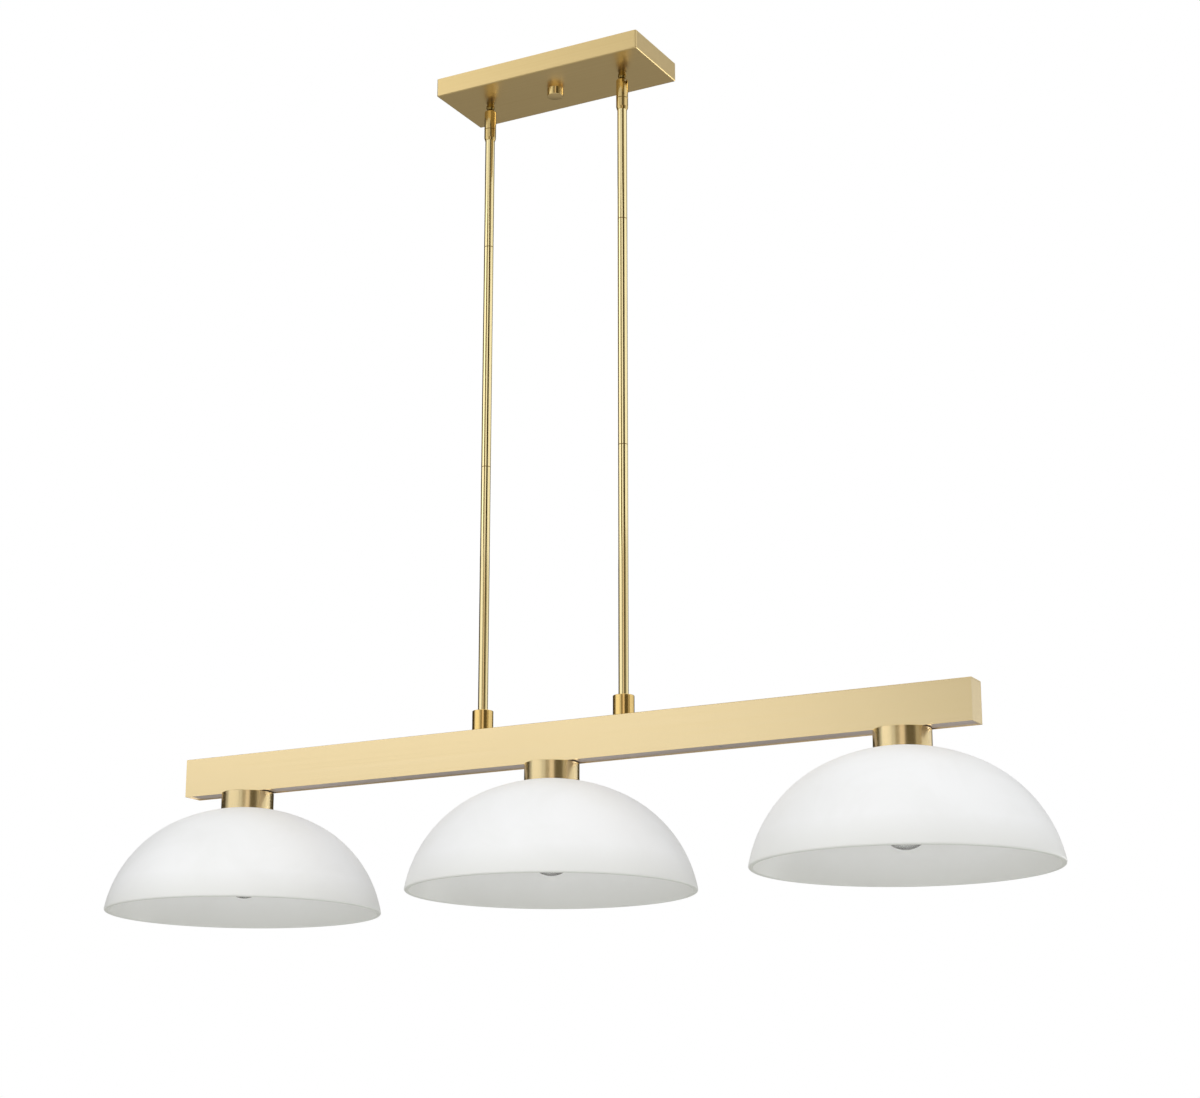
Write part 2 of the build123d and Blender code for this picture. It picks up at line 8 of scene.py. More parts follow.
import bmesh
import bpy
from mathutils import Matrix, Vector

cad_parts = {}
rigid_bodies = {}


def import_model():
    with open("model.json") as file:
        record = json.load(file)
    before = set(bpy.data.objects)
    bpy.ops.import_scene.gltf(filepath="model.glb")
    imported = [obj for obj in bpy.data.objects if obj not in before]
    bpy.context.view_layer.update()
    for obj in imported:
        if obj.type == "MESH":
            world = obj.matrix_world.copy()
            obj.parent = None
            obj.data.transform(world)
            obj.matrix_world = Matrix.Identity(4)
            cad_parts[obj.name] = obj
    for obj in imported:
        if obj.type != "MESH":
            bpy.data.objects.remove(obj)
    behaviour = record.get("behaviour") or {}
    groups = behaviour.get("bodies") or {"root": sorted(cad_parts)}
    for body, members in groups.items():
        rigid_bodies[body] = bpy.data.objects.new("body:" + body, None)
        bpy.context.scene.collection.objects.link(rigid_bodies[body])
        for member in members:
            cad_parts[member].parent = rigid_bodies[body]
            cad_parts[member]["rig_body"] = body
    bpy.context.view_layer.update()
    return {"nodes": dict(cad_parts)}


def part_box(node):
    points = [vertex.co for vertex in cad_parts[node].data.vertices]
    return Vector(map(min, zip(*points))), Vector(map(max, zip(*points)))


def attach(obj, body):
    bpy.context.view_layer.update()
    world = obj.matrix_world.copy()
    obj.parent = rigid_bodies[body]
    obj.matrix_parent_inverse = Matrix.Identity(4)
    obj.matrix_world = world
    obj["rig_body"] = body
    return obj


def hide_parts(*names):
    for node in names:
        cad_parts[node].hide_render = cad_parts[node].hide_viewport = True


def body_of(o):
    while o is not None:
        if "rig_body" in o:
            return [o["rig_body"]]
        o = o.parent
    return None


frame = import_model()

log = logging.getLogger("billiard_light")

Material = bpy.types.Material
Node = bpy.types.Node
NodeTree = bpy.types.NodeTree
Piece = bpy.types.Object
Socket = bpy.types.NodeSocket
Colour = tuple[float, float, float, float]
Value = Union[Socket, Colour, float, None]
Ports = Mapping[str, Socket]
ProfilePoint = tuple[float, float]
Points = Sequence[Sequence[float]]
Faces = Sequence[Sequence[int]]
Wave = Callable[[float, float, float], float]
NODES: dict[str, Piece] = frame["nodes"]


def mm(value: float) -> float:
    """Gives a length in metres from millimetres."""
    return value / 1000.0


def paint(code: str) -> Colour:
    """Turns a written colour into the linear colour that shaders use.

    Args:
        code: six hexadecimal digits, red first.

    Returns:
        The linear red, green, blue and an alpha of 1.
    """
    parts = [int(code[i:i + 2], 16) / 255.0 for i in (0, 2, 4)]
    line = [c / 12.92 if c <= 0.04045 else ((c + 0.055) / 1.055) ** 2.4 for c in parts]
    return (line[0], line[1], line[2], 1.0)


class Span(NamedTuple):
    """Where a round node stands: its axis, its radius and its two ends, in metres."""

    x: float
    radius: float
    low: float
    high: float


def span(node: str) -> Span:
    """Measures a round node by its name."""
    low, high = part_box(node)
    return Span((low.x + high.x) / 2.0, (high.x - low.x) / 2.0, low.z, high.z)


class Brushing(Enum):
    """Which way the fine lines of a brushed finish run: how often they change along each axis."""

    ALONG_BAR = (3.0, 420.0, 420.0)
    UP_AND_DOWN = (420.0, 420.0, 3.0)
    ROUND = (8.0, 8.0, 420.0)


class Stock(Enum):
    """What a piece is made of: metal or not, its marks' scale and strength, its grain's relief and depth."""

    METAL = (1.0, 90.0, 0.18, 0.12, 0.05)
    MOULDED = (0.0, 60.0, 0.12, 0.2, 0.08)


class Side(Enum):
    """The two stems."""

    LEFT = "left"
    RIGHT = "right"


class Place(Enum):
    """The three lamps along the bar."""

    LEFT = "left"
    MIDDLE = "middle"
    RIGHT = "right"


class Graph:
    """A node tree with short ways to add nodes and to join them."""

    def __init__(self, tree: NodeTree) -> None:
        """Keeps the tree that nodes are added to."""
        self.tree = tree

    def fill(self, socket: Socket, value: Value) -> None:
        """Gives an input what it takes.

        Args:
            socket: the input.
            value: an output to follow, a plain value, or None to leave it as it is.
        """
        if isinstance(value, Socket):
            self.tree.links.new(value, socket)
        elif value is not None:
            socket.default_value = value

    def add(self, kind: str, *first: Value, **named: object) -> Node:
        """Adds a node.

        Args:
            kind: the node's type, without the word ShaderNode.
            first: what the first inputs take, in order.
            named: settings of the node, or what inputs take, with spaces written as underscores.

        Returns:
            The new node.
        """
        node = self.tree.nodes.new(f"ShaderNode{kind}")
        for name, value in named.items():
            socket = node.inputs.get(name.replace("_", " "))
            if socket is None:
                setattr(node, name, value)
            else:
                self.fill(socket, value)
        for socket, value in zip(node.inputs, first):
            self.fill(socket, value)
        return node

    def mix(self, mask: Value, low: Value, high: Value) -> Socket:
        """Mixes two colours, the first where a mask is 0 and the second where it is 1."""
        unused = (None,) * 5
        return self.add("Mix", mask, *unused, low, high, data_type="RGBA").outputs[2]

    def mean(self, share: Value, low: Socket, high: Socket) -> Socket:
        """Mixes two values, with a share of the second."""
        return self.add("Mix", share, None, low, high, data_type="FLOAT").outputs[0]

    def math(self, operation: str, *values: Value) -> Socket:
        """Works out one sum, such as ADD or MULTIPLY."""
        return self.add("Math", *values, operation=operation).outputs[0]

    def spread(self, value: Socket, low: float, high: float) -> Socket:
        """Spreads a value from 0 to 1 over another range."""
        return self.add("MapRange", value, To_Min=low, To_Max=high).outputs[0]

    def ramp(self, value: Socket, start: float, end: float) -> Socket:
        """Gives 0 where a value is at its start, and 1 where it is at its end."""
        return self.add("MapRange", value, From_Min=start, From_Max=end).outputs[0]

    def noise(self, place: Socket, scale: Value, detail: float, rough: float, warp: float = 0.0) -> Socket:
        """Gives a cloudy noise from 0 to 1."""
        return self.add("TexNoise", place, Scale=scale, Detail=detail, Roughness=rough,
                        Distortion=warp).outputs[0]


class Effects:
    """The shader effects that several finishes share, each built once as a node group."""

    def __init__(self) -> None:
        """Builds every group."""
        self.brush_lines = self._brush_lines()
        self.soft_marks = self._soft_marks()
        self.settled_dust = self._settled_dust()
        self.fine_grain = self._fine_grain()

    @staticmethod
    def _group(name: str, outputs: Sequence[str], **values: float) -> tuple[Graph, Ports, Ports]:
        """Starts a node group that is read at a place, its input Vector.

        Args:
            name: the group's name.
            outputs: names of its outputs.
            values: names and usual values of its other inputs.

        Returns:
            The group's graph, what its inputs give and what its outputs take.
        """
        tree = bpy.data.node_groups.new(name, "ShaderNodeTree")
        add_socket = tree.interface.new_socket
        add_socket(name="Vector", in_out="INPUT", socket_type="NodeSocketVector")
        for label, value in values.items():
            add_socket(name=label, in_out="INPUT", socket_type="NodeSocketFloat").default_value = value
        for label in outputs:
            add_socket(name=label, in_out="OUTPUT", socket_type="NodeSocketFloat")
        start, end = tree.nodes.new("NodeGroupInput"), tree.nodes.new("NodeGroupOutput")
        return Graph(tree), start.outputs, end.inputs

    def _brush_lines(self) -> NodeTree:
        """Builds fine parallel lines with broader streaks among them.

        Returns:
            The group, with outputs Height and Tone.
        """
        graph, start, end = self._group("brush_lines", ("Height", "Tone"), Streaks=0.4)
        fine, broad = (graph.noise(start["Vector"], scale, 2.0, 0.5) for scale in (1.0, 0.3))
        graph.fill(end["Height"], fine)
        graph.fill(end["Tone"], graph.mean(start["Streaks"], fine, broad))
        return graph.tree

    def _soft_marks(self) -> NodeTree:
        """Builds the faint cloudy marks that handling leaves.

        Returns:
            The group, with the output Mask.
        """
        graph, start, end = self._group("soft_marks", ("Mask",), Scale=25.0, Amount=0.5)
        cloud = graph.noise(start["Vector"], start["Scale"], 5.0, 0.62, warp=0.6)
        graph.fill(end["Mask"], graph.math("MULTIPLY", graph.ramp(cloud, 0.42, 0.72), start["Amount"]))
        return graph.tree

    def _settled_dust(self) -> NodeTree:
        """Builds a mask for the dust that settles on faces that look up.

        Returns:
            The group, with the output Mask.
        """
        graph, start, end = self._group("settled_dust", ("Mask",), Amount=0.3)
        facing = graph.add("SeparateXYZ", graph.add("NewGeometry").outputs["Normal"]).outputs["Z"]
        speck = graph.noise(start["Vector"], 420.0, 3.0, 0.7)
        lying = graph.math("MULTIPLY", graph.ramp(facing, 0.55, 1.0), speck)
        graph.fill(end["Mask"], graph.math("MULTIPLY", lying, start["Amount"]))
        return graph.tree

    def _fine_grain(self) -> NodeTree:
        """Builds an even fine grain, as on moulded, cast or etched surfaces.

        Returns:
            The group, with outputs Height and Tone.
        """
        graph, start, end = self._group("fine_grain", ("Height", "Tone"), Scale=900.0)
        grain = graph.noise(start["Vector"], start["Scale"], 3.0, 0.55)
        slow = graph.noise(start["Vector"], 9.0, 3.0, 0.5)
        graph.fill(end["Height"], grain)
        graph.fill(end["Tone"], graph.mean(0.65, grain, slow))
        return graph.tree


class Surface:
    """One material in the making: its graph, its shader and the place of each point on it."""

    def __init__(self, name: str, effects: Effects) -> None:
        """Starts a material with an empty shader.

        Args:
            name: the material's name.
            effects: the shared effects.
        """
        self.material = bpy.data.materials.new(name)
        self.material.use_nodes = True
        self.graph = Graph(self.material.node_tree)
        self.shader = self.material.node_tree.nodes["Principled BSDF"]
        self.place = self.graph.add("TexCoord").outputs["Object"]
        self.effects = effects

    def effect(self, group: NodeTree, place: Optional[Socket] = None, **values: float) -> Node:
        """Sets a shared effect in this material, read at a place or else at the place on the object."""
        return self.graph.add("Group", node_tree=group, Vector=place or self.place, **values)

    def stretched(self, amount: tuple[float, float, float]) -> Socket:
        """Gives the place on the object, stretched along each axis."""
        return self.graph.add("Mapping", self.place, Scale=amount).outputs[0]

    def height(self) -> Socket:
        """Gives the height of the place on the object."""
        return self.graph.add("SeparateXYZ", self.place).outputs["Z"]

    def band(self, height: float, fades: float, full: float) -> Socket:
        """Gives a mask for a level band, which fades from a full half width to a wider one."""
        apart = self.graph.math("ABSOLUTE", self.graph.math("SUBTRACT", self.height(), height))
        return self.graph.ramp(apart, fades, full)

    def bump(self, height: Socket, strength: float, depth: float) -> None:
        """Raises the surface by a height from 0 to 1, whose full depth is in metres."""
        node = self.graph.add("Bump", Strength=strength, Distance=depth, Height=height)
        self.set(Normal=node.outputs[0])

    def set(self, **values: Value) -> None:
        """Gives the shader's own inputs what they take."""
        for label, value in values.items():
            self.graph.fill(self.shader.inputs[label.replace("_", " ")], value)


@dataclass(frozen=True)
class Finish:
    """A finish: its name, a lighter and a darker colour, and its least and greatest roughness."""

    name: str
    light: str
    deep: str
    smooth: float
    rough: float

    def make(self, effects: Effects) -> Material:
        """Builds the material with the shared effects."""
        self.coat(surface := Surface(self.name, effects))
        return surface.material

    def coat(self, surface: Surface) -> None:
        """Coats a surface; each kind of finish has its own way."""
        raise NotImplementedError

    def colour(self, graph: Graph, tone: Socket) -> Socket:
        """Gives the colour: deep where a tone is 0, light where it is 1."""
        return graph.mix(tone, paint(self.deep), paint(self.light))

    def roughness(self, graph: Graph, tone: Socket, marks: Socket) -> Socket:
        """Gives the roughness: from smooth to rough with a tone, and more under marks."""
        return graph.math("ADD", graph.spread(tone, self.smooth, self.rough), marks)


@dataclass(frozen=True)
class BrushedMetal(Finish):
    """A plated and brushed metal, light on the crests of its lines.

    Args:
        lines: which way the lines run.
        turned: how far the lathe's rings spread a reflection up and down, from 0 to 1.
        seams: heights of the joints, in metres, where painted shade darkens the metal.
        seam_shade_tone: colour of the painted shade in those joints.
    """

    lines: Brushing
    turned: float = 0.0
    seams: tuple[float, ...] = ()
    seam_shade_tone: str = "94753a"

    def coat(self, surface: Surface) -> None:
        """Coats a surface.

        Args:
            surface: the surface to coat.
        """
        graph, effects = surface.graph, surface.effects
        lines = surface.effect(effects.brush_lines, surface.stretched(self.lines.value), Streaks=0.45).outputs
        marks = surface.effect(effects.soft_marks, Scale=9.0, Amount=0.012).outputs["Mask"]
        colour = self.colour(graph, lines["Tone"])
        # Painted shade in each joint: a darker band, full within 0.35 mm of the joint and gone by 0.6 mm.
        for height in self.seams:
            colour = graph.mix(surface.band(height, mm(0.6), mm(0.35)), colour, paint(self.seam_shade_tone))
        surface.set(Metallic=1.0, Base_Color=colour, Roughness=self.roughness(graph, lines["Tone"], marks))
        if self.turned:
            rings = graph.add("Tangent", direction_type="RADIAL", axis="Z").outputs[0]
            surface.set(Anisotropic=self.turned, Anisotropic_Rotation=0.25, Tangent=rings)
        surface.bump(lines["Height"], 0.02, mm(0.05))


@dataclass(frozen=True)
class Grained(Finish):
    """A plain plated, drawn, moulded or enamelled surface, with a fine grain and faint marks.

    Args:
        grain: how many grains lie along a metre.
        stock: what it is made of.
    """

    grain: float = 900.0
    stock: Stock = Stock.MOULDED

    def coat(self, surface: Surface) -> None:
        """Coats a surface.

        Args:
            surface: the surface to coat.
        """
        graph, effects = surface.graph, surface.effects
        metal, mark_scale, mark_strength, relief, depth = self.stock.value
        grain = surface.effect(effects.fine_grain, Scale=self.grain).outputs
        marks = surface.effect(effects.soft_marks, Scale=mark_scale, Amount=mark_strength).outputs["Mask"]
        surface.set(Metallic=metal, Base_Color=self.colour(graph, grain["Tone"]),
                    Roughness=self.roughness(graph, grain["Tone"], marks))
        surface.bump(grain["Height"], relief, mm(depth))


@dataclass(frozen=True)
class OpalGlass(Finish):
    """Etched opal glass, cased white all through.

    Args:
        rim_height: height of the lowest point of the rim, in metres.
        low: a greyer white, painted shade over the lowest 36 mm above the rim.
        rim: a grey, painted shade along the ground rim.
        dust: colour of the dust on the crown.
    """

    rim_height: float
    low: str = "ecece8"
    rim: str = "dadbd5"
    dust: str = "e4e2dc"

    def coat(self, surface: Surface) -> None:
        """Coats a surface.

        Args:
            surface: the surface to coat.
        """
        graph, effects = surface.graph, surface.effects
        etched = surface.effect(effects.fine_grain, Scale=1600.0).outputs
        cloud = surface.effect(effects.soft_marks, Scale=11.0, Amount=0.8).outputs["Mask"]
        dust = surface.effect(effects.settled_dust, Amount=0.12).outputs["Mask"]
        glass = graph.mix(cloud, paint(self.light), paint(self.deep))
        height = surface.height()
        # Painted shade: a greyer white fades in over the lowest 36 mm above the rim, and a grey line runs
        # along the ground rim.
        for reach, colour in ((mm(36.0), self.low), (mm(0.8), self.rim)):
            near = graph.ramp(height, self.rim_height + reach, self.rim_height)
            glass = graph.mix(near, glass, paint(colour))
        surface.set(IOR=1.5, Base_Color=graph.mix(dust, glass, paint(self.dust)),
                    Roughness=self.roughness(graph, etched["Tone"], dust))
        surface.bump(etched["Height"], 0.06, mm(0.05))


@dataclass(frozen=True)
class ClearGlass(Finish):
    """Thin blown clear glass, painted dark where the eye looks along it: a painted reflection of dark
    surroundings at its edges.
    """

    # Near black painted at the glass's edges, a painted dark reflection.
    edge: str = "151615"

    def coat(self, surface: Surface) -> None:
        """Coats a surface.

        Args:
            surface: the surface to coat.
        """
        graph = surface.graph
        film = surface.effect(surface.effects.soft_marks, Scale=38.0, Amount=1.0).outputs["Mask"]
        clear = graph.mix(film, paint(self.light), paint(self.deep))
        # Painted dark reflection: the glass colour turns to the edge colour where the eye looks along the
        # surface.
        along = graph.ramp(graph.add("LayerWeight", Blend=0.5).outputs["Facing"], 0.3, 0.85)
        surface.set(Base_Color=graph.mix(along, clear, paint(self.edge)),
                    Roughness=graph.spread(film, self.smooth, self.rough),
                    Transmission_Weight=1.0, IOR=1.5, Specular_IOR_Level=0.25)


class Finishes:
    """Every finish on the lamp, made once."""

    def __init__(self) -> None:
        """Makes the materials."""
        rod_seams = tuple(corner.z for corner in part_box("rod_middle_left"))
        barrel_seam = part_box("swivel_barrel_left")[0].z
        rim_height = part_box("glass_shade_middle")[0].z
        along, upright, round_it = Brushing.ALONG_BAR, Brushing.UP_AND_DOWN, Brushing.ROUND
        recipes: list[Finish] = [
            BrushedMetal("gold_canopy", "ecd49b", "e0c58a", 0.27, 0.36, along),
            BrushedMetal("gold_bar", "f8e3b5", "edd6a3", 0.2, 0.28, along),
            # The rods and the swivel barrels get painted shade at their joints.
            BrushedMetal("gold_rod", "ffefb9", "f8e4aa", 0.07, 0.12, upright, seams=rod_seams),
            BrushedMetal("gold_cup", "f7e2b1", "eed6a1", 0.2, 0.26, round_it, turned=0.4),
            BrushedMetal("gold_collar", "fbda90", "f1cd82", 0.12, 0.17, round_it, turned=0.5),
            BrushedMetal("gold_swivel", "e0c78b", "d0b474", 0.09, 0.13, round_it, turned=0.15,
                         seams=(barrel_seam,)),
            # A darker copy of the gold: painted shade under the canopy and inside the barrel's mouth.
            BrushedMetal("swivel_stud_painted_shade", "9a8148", "6f5a2c", 0.1, 0.16, round_it),
            BrushedMetal("cover_plate", "d6cac5", "c8bcb7", 0.28, 0.38, along),
            Grained("zinc_plate", "c9cccf", "a9acae", 0.3, 0.42, 1400.0, Stock.METAL),
            Grained("contact_brass", "d8b76a", "b08f48", 0.25, 0.38, 1400.0, Stock.METAL),
            Grained("bulb_cap_metal", "d3d3d0", "b5b5b2", 0.24, 0.36, 1400.0, Stock.METAL),
            Grained("filament_wire", "b9b4aa", "8f8b83", 0.3, 0.4, 1400.0, Stock.METAL),
            Grained("green_enamel", "2f7a45", "1f5c33", 0.3, 0.42),
            Grained("black_phenolic", "1d1b1a", "110f0e", 0.34, 0.46),
            Grained("cable_jacket", "e7e5df", "d6d3cb", 0.45, 0.55),
            Grained("black_glass", "17171b", "0d0d10", 0.1, 0.18, 300.0),
            Grained("solder", "c4c4c1", "9a9a96", 0.35, 0.5, 700.0),
            Grained("phosphor", "e8c04a", "d6a52f", 0.5, 0.6, 1500.0),
            OpalGlass("opal_glass", "f8f8f7", "f3f3f1", 0.42, 0.58, rim_height),
            ClearGlass("bulb_clear_glass", "fbfcfb", "f1f3f1", 0.0, 0.03),
        ]
        effects = Effects()
        self.all = {recipe.name: recipe.make(effects) for recipe in recipes}

    def dress(self, piece: Piece, *names: str) -> None:
        """Gives a piece its finishes, in the order of its slots.

        Args:
            piece: the object to dress.
            names: the finishes' names.
        """
        piece.data.materials.clear()
        for name in names:
            piece.data.materials.append(self.all[name])
        log.info("%s: %s", piece.name, ", ".join(names))


def sweep(name: str, outline: Sequence[ProfilePoint], x: float, segments: int = 96,
          wave: Optional[Wave] = None, ring: bool = True) -> Piece:
    """Turns an outline about the upright line through (x, 0).

    Args:
        name: the new object's name.
        outline: radius and height of each point, in metres, in order.
        x: where the axis stands.
        segments: points round the axis.
        wave: change of radius for an angle, radius and height, or None.
        ring: True closes the outline on itself, False closes its two ends with flat faces.

    Returns:
        The new object, linked to the scene.
    """
    rows = []
    for radius, height in outline:
        row = []
        for step in range(segments):
            angle = math.tau * step / segments
            reach = radius + (wave(angle, radius, height) if wave else 0.0)
            row.append((x + reach * math.cos(angle), reach * math.sin(angle), height))
        rows.append(row)
    return skin(name, rows, ring)


def bend_wire(name: str, path: Sequence[Vector], radius: float, sides: int = 10) -> Piece:
    """Draws a round wire along a path.

    Args:
        name: the new object's name.
        path: the points of its middle line, in metres.
        radius: half its thickness.
        sides: points round it.

    Returns:
        The new object, linked to the scene.
    """
    rows = []
    last = len(path) - 1
    turns = [math.tau * side / sides for side in range(sides)]
    for step, point in enumerate(path):
        ahead = (path[min(step + 1, last)] - path[max(step - 1, 0)]).normalized()
        across = ahead.cross(Vector((0.3, 1.0, 0.2))).normalized()
        up = ahead.cross(across)
        rows.append([point + radius * (math.cos(turn) * across + math.sin(turn) * up) for turn in turns])
    return skin(name, rows)


def skin(name: str, rows: Sequence[Points], ring: bool = False) -> Piece:
    """Covers rows of points, each of which goes once round.

    Args:
        name: the new object's name.
        rows: the points of each row.
        ring: True joins the last row to the first, False closes both with flat faces.

    Returns:
        The new object, linked to the scene.
    """
    count, sides = len(rows), len(rows[0])
    faces = []
    for row in range(count if ring else count - 1):
        low, high = row * sides, (row + 1) % count * sides
        for step in range(sides):
            after = (step + 1) % sides
            faces.append((low + step, low + after, high + after, high + step))
    if not ring:
        faces.append(tuple(reversed(range(sides))))
        faces.append(tuple(range((count - 1) * sides, count * sides)))
    return solid(name, [point for row in rows for point in row], faces)


def solid(name: str, vertices: Points, faces: Faces, crease: float = 35.0) -> Piece:
    """Makes an object from points and faces, smooth apart from its creases.

    Args:
        name: the new object's name.
        vertices: the points.
        faces: the faces' point numbers.
        crease: angle in degrees from which an edge stays sharp.

    Returns:
        The new object, linked to the scene.
    """
    mesh = bpy.data.meshes.new(name)
    mesh.from_pydata(vertices, [], faces)
    shape = bmesh.new()
    shape.from_mesh(mesh)
    bmesh.ops.recalc_face_normals(shape, faces=shape.faces)
    shape.to_mesh(mesh)
    shape.free()
    smooth(mesh, crease)
    piece = bpy.data.objects.new(name, mesh)
    bpy.context.scene.collection.objects.link(piece)
    return piece


def smooth(mesh: bpy.types.Mesh, crease: float) -> None:
    """Shades a mesh smooth, apart from edges sharper than an angle in degrees."""
    mesh.polygons.foreach_set("use_smooth", [True] * len(mesh.polygons))
    mesh.set_sharp_from_angle(angle=math.radians(crease))


@dataclass(frozen=True)
class Thread:
    """A rounded right-hand screw thread: its pitch, its depth and its run-out at each end, in millimetres."""

    pitch: float
    depth: float
    fade: float = 1.0

    def rows(self, radius: float, low: float, high: float) -> list[ProfilePoint]:
        """Gives the outline's points for a threaded stretch.

        Args:
            radius: radius of the crests, in metres.
            low: where the stretch begins.
            high: where it ends.

        Returns:
            Points close enough to carry the thread.
        """
        points_in_a_turn = 8.0
        count = max(4, round(abs(high - low) / mm(self.pitch) * points_in_a_turn))
        return [(radius, low + (high - low) * step / count) for step in range(count + 1)]

    def wave(self, low: float, high: float, least: float = 0.0) -> Wave:
        """Gives the change of radius that cuts the thread between two heights.

        Args:
            low: the lower end, in metres.
            high: the upper end.
            least: points nearer to the axis than this stay as they are.

        Returns:
            The change for an angle, radius and height.
        """
        def change(angle: float, radius: float, height: float) -> float:
            """Gives the cut at one point.

            Args:
                angle: the point's turn about the axis, in radians.
                radius: its distance from the axis, in metres.
                height: its height.

            Returns:
                The change of the radius, 0 or less.
            """
            if radius < least or not low < height < high:
                return 0.0
            ends = min(1.0, (height - low) / mm(self.fade), (high - height) / mm(self.fade))
            turn = math.tau * height / mm(self.pitch) - angle
            return -mm(self.depth) * (1.0 - ends * (0.5 + 0.5 * math.cos(turn)))
        return change


@dataclass(frozen=True)
class CrossRecess:
    """A cross cut into a screw's head: its arms' reach and half width, and its depth, in millimetres."""

    reach: float
    half_width: float
    depth: float

    def radius(self, angle: float) -> float:
        """Measures from the middle to the cross's edge.

        Args:
            angle: the direction.

        Returns:
            The distance, in metres.
        """
        folded = abs((angle + math.pi / 4.0) % (math.pi / 2.0) - math.pi / 4.0)
        end = self.reach / math.cos(folded)
        side = self.half_width / max(math.sin(folded), 1e-6)
        return mm(min(end, side))


@dataclass
class SubAssembly:
    """A group of nodes that is dressed together."""

    finishes: Finishes

    def dress_nodes(self, names: Sequence[str], *finish: str) -> None:
        """Dresses CAD nodes that keep their own shape.

        Args:
            names: the nodes' names.
            finish: the finishes' names.
        """
        crease = 28.0
        for name in names:
            smooth(NODES[name].data, crease)
            self.finishes.dress(NODES[name], *finish)

    def add_to(self, piece: Piece, node: str, *finish: str) -> None:
        """Dresses a new piece and sets it on a node, to move with its body."""
        self.finishes.dress(piece, *finish)
        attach(piece, body_of(NODES[node])[0])

    def stand_for(self, piece: Piece, node: str, *finish: str) -> None:
        """Puts a new piece in a node's place, on the node's own body."""
        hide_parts(node)
        self.add_to(piece, node, *finish)


@dataclass
class Canopy(SubAssembly):
    """The ceiling box, its strap, its centre stud and the knob under it. Sizes are in millimetres."""

    stud_thread: Thread = Thread(pitch=1.27, depth=0.5)
    earth_recess: CrossRecess = CrossRecess(reach=2.4, half_width=0.5, depth=1.3)
    earth_washer: float = 0.7
    earth_shank: float = 2.0
    earth_flats: float = 6.3
    knob_edge: float = 0.6
    knob_ring: float = 0.6
    knob_ring_tilt: float = 14.0
    knob_bore_depth: float = 8.0
    knob_clearance: float = 0.15

    def dress(self) -> None:
        """Dresses the canopy's nodes."""
        self.dress_nodes(["canopy_pan"], "gold_canopy")
        self.dress_nodes(["mounting_strap", "stud_lock_nut", "swivel_nuts"], "zinc_plate")
        self.turn_knob()
        self.cut_stud()
        self.cut_earth_screw()

    def turn_knob(self) -> None:
        """Turns the knob, with fine rings round its side and a plain face below."""
        _, radius, low, high = span("canopy_knob")
        bore, edge = span("centre_stud").radius + mm(self.knob_clearance), mm(self.knob_edge)
        outline = [(bore, high - mm(self.knob_bore_depth)), (bore, high)]
        rings = round((high - low - edge) / mm(self.knob_ring))
        pitch = (high - low - edge) / rings
        cut = pitch * math.tan(math.radians(self.knob_ring_tilt))
        for ring in range(rings):
            outline += [(radius, high - ring * pitch), (radius - cut, high - (ring + 1) * pitch)]
        for step in range(5):
            turn = step * math.pi / 8.0
            outline.append((radius - edge * (1.0 - math.cos(turn)), low + edge * (1.0 - math.sin(turn))))
        knob = sweep("knob_turned", outline, 0.0, ring=False)
        self.stand_for(knob, "canopy_knob", "gold_swivel", "gold_canopy")
        least_flat = 0.3
        for face in knob.data.polygons:
            face.material_index = int(abs(face.normal.z) > least_flat)

    def cut_stud(self) -> None:
        """Threads the centre stud along its whole length."""
        _, radius, low, high = span("centre_stud")
        wave = self.stud_thread.wave(low - mm(self.stud_thread.fade), high + mm(self.stud_thread.fade))
        outline = self.stud_thread.rows(radius, low, high)
        stud = sweep("centre_stud_threaded", outline, 0.0, segments=24, wave=wave, ring=False)
        self.stand_for(stud, "centre_stud", "zinc_plate")

    def cut_earth_screw(self) -> None:
        """Makes the earth screw with a six-sided head on a washer, and a cross in it."""
        x, washer, low, high = span("ground_screw")
        shank, flat = mm(self.earth_shank), mm(self.earth_flats) / 2.0
        under = high - shank
        seat = under - mm(self.earth_washer)

        def six_sided(angle: float, radius: float, height: float) -> float:
            """Gives the head its six sides and the recess its cross.

            Args:
                angle: the point's turn about the axis, in radians.
                radius: its distance from the axis, in metres.
                height: its height, which changes nothing here.

            Returns:
                The change of the radius.
            """
            if radius == flat:
                return flat / math.cos((angle + math.pi / 6.0) % (math.pi / 3.0) - math.pi / 6.0) - flat
            if radius < shank:
                return self.earth_recess.radius(angle) - radius
            return 0.0

        cross = mm(self.earth_recess.half_width)
        outline = [(shank, high), (shank, under), (washer, under), (washer, seat), (flat, seat), (flat, low),
                   (cross, low), (cross, low + mm(self.earth_recess.depth))]
        screw = sweep("earth_screw", outline, x, wave=six_sided, ring=False)
        self.stand_for(screw, "ground_screw", "green_enamel")


@dataclass
class Stem(SubAssembly):
    """One hanging stem: its swivel, three rods and the collar on the bar."""

    side: Side

    def dress(self) -> None:
        """Dresses the stem's nodes."""
        end = self.side.value
        # The stud gets the darker gold, painted shade under the canopy and in the barrel's mouth.
        self.dress_nodes([f"swivel_stud_{end}"], "swivel_stud_painted_shade")
        self.dress_nodes([f"swivel_barrel_{end}", f"swivel_collar_{end}"], "gold_swivel")
        self.dress_nodes([f"bar_collar_{end}"], "gold_collar")
        self.dress_nodes([f"rod_{part}_{end}" for part in ("upper", "middle", "lower")], "gold_rod")


